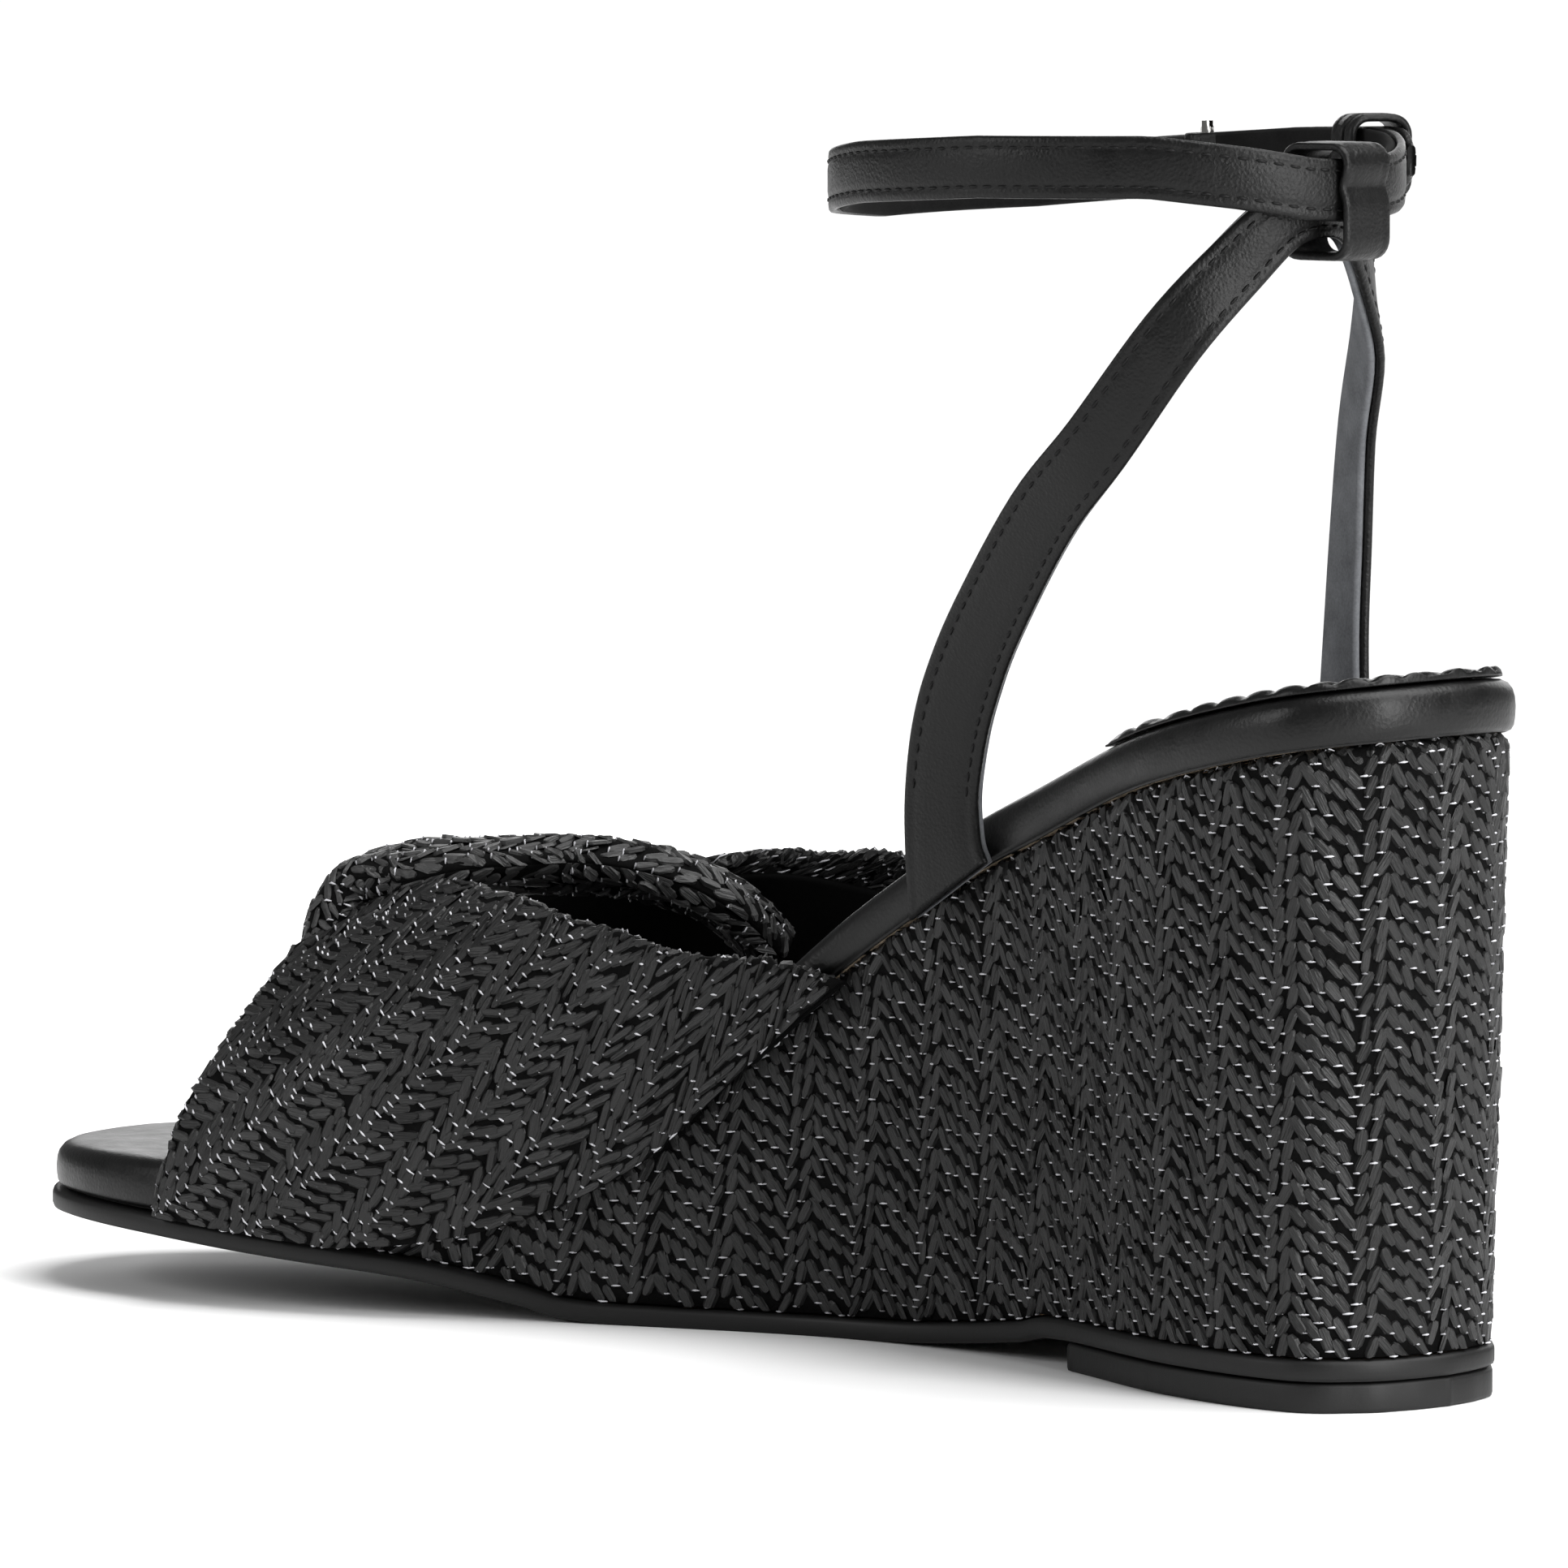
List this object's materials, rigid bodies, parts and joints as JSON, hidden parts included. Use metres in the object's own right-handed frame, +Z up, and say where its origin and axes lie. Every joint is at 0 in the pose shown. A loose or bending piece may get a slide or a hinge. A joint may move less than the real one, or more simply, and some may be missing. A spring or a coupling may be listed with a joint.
{
  "type": "wedge sandal",
  "caption": "Black wedge sandal with a woven raffia wedge and knotted vamp, leather-edged footbed, slingback strap and buckled ankle strap",
  "frame": {"origin": "Middle of the heel lift's flat face on the floor, x 30 mm ahead of the back of the heel", "axes": "+X to the toe, +Y to the shoe's medial side, +Z up"},
  "size_m": [0.2415, 0.0846, 0.1633],
  "materials": {
    "outsole_rubber": "matte black moulded rubber",
    "cork": "pressed cork",
    "wedge_raffia": "black woven raffia with a satin sheen",
    "board": "pressed fibre board",
    "steel": "spring steel strip",
    "foam": "grey cushioning foam",
    "footbed_leather": "soft black nappa, satin",
    "vamp_raffia": "black woven raffia with a satin sheen",
    "vamp_lining": "thin black textile",
    "strap_leather": "soft black nappa, satin",
    "strap_lining": "grey lining leather, matte",
    "buckle_metal": "polished nickel"
  },
  "bodies": {
    "sandal": {"outsole": "outsole_rubber", "heel_lift": "outsole_rubber", "wedge_core": "cork", "wedge_wrap": "wedge_raffia", "insole_board": "board", "shank": "steel", "footbed_foam": "foam", "footbed_cover": "footbed_leather", "heel_pad": "footbed_leather", "vamp_medial": "vamp_raffia", "vamp_lateral": "vamp_raffia", "vamp_lining_medial": "vamp_lining", "vamp_lining_lateral": "vamp_lining", "vamp_knot": "vamp_raffia", "sling_strap_outer": "strap_leather", "sling_strap_lining": "strap_lining", "ankle_strap_outer": "strap_leather", "ankle_strap_lining": "strap_lining"},
    "buckle": {"buckle_frame": "buckle_metal"},
    "prong": {"buckle_prong": "buckle_metal"},
    "keeper": {"strap_keeper": "strap_leather"},
    "back_loop_body": {"back_loop": "strap_leather"}
  },
  "joints": [
    {"name": "buckle_hinge", "type": "hinge", "parent": "sandal", "child": "buckle", "pos_m": [0.04372, -0.03406, 0.1559], "axis": [0, 0, 1], "range_deg": [-0.5, 2]},
    {"name": "prong_hinge", "type": "hinge", "parent": "buckle", "child": "prong", "pos_m": [0.04372, -0.03406, 0.1559], "axis": [0, 0, 1], "range_deg": [-26, 0]},
    {"name": "keeper_slide", "type": "slide", "parent": "sandal", "child": "keeper", "axis": [0.9177, -0.3974, 0], "range_m": [-0.001, 0.001]},
    {"name": "back_loop_slide", "type": "hinge", "parent": "sandal", "child": "back_loop_body", "pos_m": [0.032, -0.002, 0.1525], "axis": [0, 0, 1], "range_deg": [-0.6, 0.6]}
  ]
}
